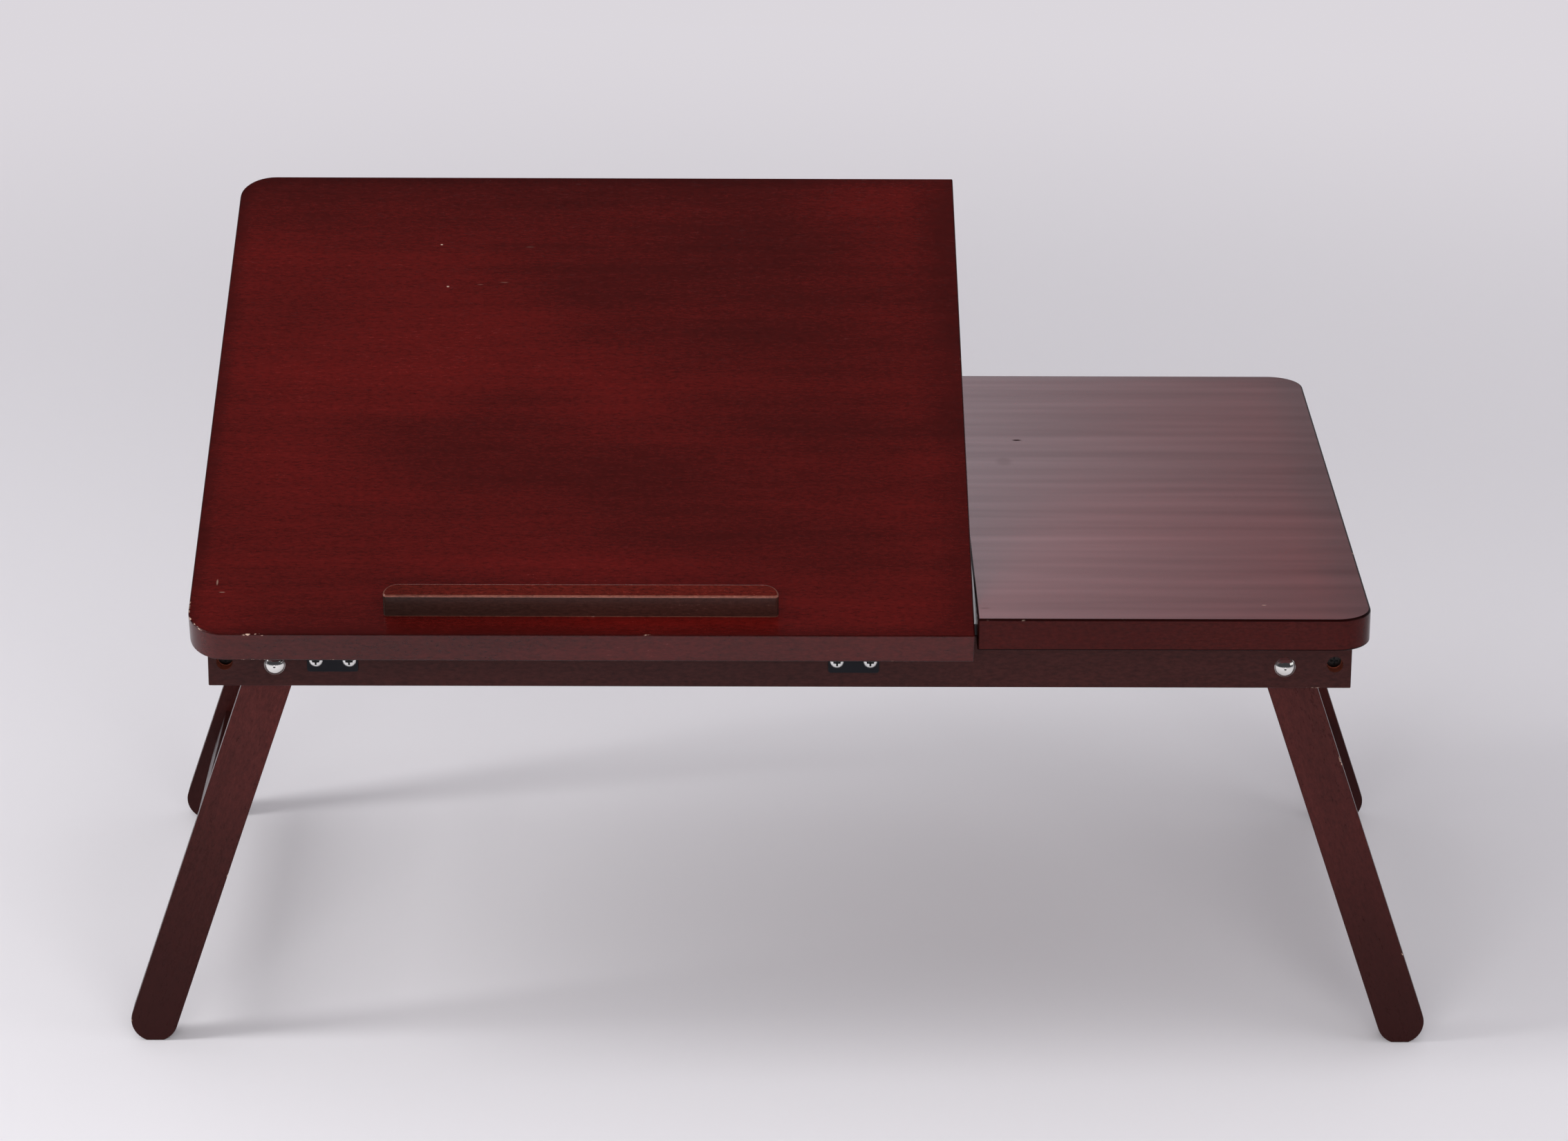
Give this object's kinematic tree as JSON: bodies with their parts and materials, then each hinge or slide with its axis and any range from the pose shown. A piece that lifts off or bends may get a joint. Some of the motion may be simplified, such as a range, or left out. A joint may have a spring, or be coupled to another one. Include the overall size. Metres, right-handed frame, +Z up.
{
  "type": "folding laptop table",
  "caption": "Low wooden lap table with a tilting left panel and stop bar, a fixed side panel, a wire prop on notched racks and folding legs.",
  "frame": {"origin": "on the floor, under the middle of the whole table's bounding box", "axes": "+X to the user's right along the front edge, +Y from the user's side to the back, +Z up"},
  "size_m": [0.681, 0.4054, 0.378],
  "materials": {
    "tilting_panel_lacquer": "satin",
    "fixed_panel_lacquer": "gloss",
    "frame_lacquer": "satin",
    "leg_lacquer": "satin",
    "pale_dowel": "matte",
    "polished_nickel": "polished",
    "black_steel": "satin",
    "wire_steel": "satin",
    "screw_steel": "polished",
    "zinc_steel": "satin"
  },
  "bodies": {
    "frame": {"front_rail": "frame_lacquer", "back_rail": "frame_lacquer", "left_side_rail": "frame_lacquer", "right_side_rail": "frame_lacquer", "cross_rail": "frame_lacquer", "cross_rail_dowels": "pale_dowel", "frame_screws": "screw_steel", "fixed_top": "fixed_panel_lacquer", "top_screws": "screw_steel", "left_rack": "frame_lacquer", "right_rack": "frame_lacquer", "rack_screws": "screw_steel", "leg_bolts": "polished_nickel", "rail_washers": "zinc_steel", "nut_washers": "zinc_steel", "leg_nuts": "zinc_steel", "left_hinge_rail_leaf": "black_steel", "right_hinge_rail_leaf": "black_steel", "left_hinge_pin": "black_steel", "right_hinge_pin": "black_steel", "hinge_rail_screws": "screw_steel"},
    "tilting_panel": {"tilting_top": "tilting_panel_lacquer", "stop_bar": "tilting_panel_lacquer", "stop_bar_screws": "screw_steel", "left_hinge_panel_leaf": "black_steel", "right_hinge_panel_leaf": "black_steel", "hinge_panel_screws": "screw_steel", "left_saddle": "zinc_steel", "right_saddle": "zinc_steel", "saddle_screws": "screw_steel"},
    "bail": {"wire_bail": "wire_steel"},
    "left_legs": {"left_front_leg": "leg_lacquer", "left_rear_leg": "leg_lacquer", "left_stretcher": "leg_lacquer"},
    "right_legs": {"right_front_leg": "leg_lacquer", "right_rear_leg": "leg_lacquer", "right_stretcher": "leg_lacquer"}
  },
  "joints": [
    {"name": "panel_tilt", "type": "hinge", "parent": "frame", "child": "tilting_panel", "pos_m": [-0.1, -0.17783, 0.2338], "axis": [1, 0, 0], "range_deg": [-19.3, 10.95]},
    {"name": "bail_swing", "type": "hinge", "parent": "tilting_panel", "child": "bail", "pos_m": [-0.142, -0.0031, 0.29414], "axis": [-1, 0, 0], "range_deg": [-55.7, 31.7]},
    {"name": "left_leg_fold", "type": "hinge", "parent": "frame", "child": "left_legs", "pos_m": [-0.25793, 0, 0.2191], "axis": [0, -1, 0], "range_deg": [0, 108.7]},
    {"name": "right_leg_fold", "type": "hinge", "parent": "frame", "child": "right_legs", "pos_m": [0.25793, 0, 0.2191], "axis": [0, 1, 0], "range_deg": [0, 108.7]}
  ],
  "couplings": [
    {"joint": "bail_swing", "follows": "panel_tilt", "ratio": 2.8685}
  ]
}
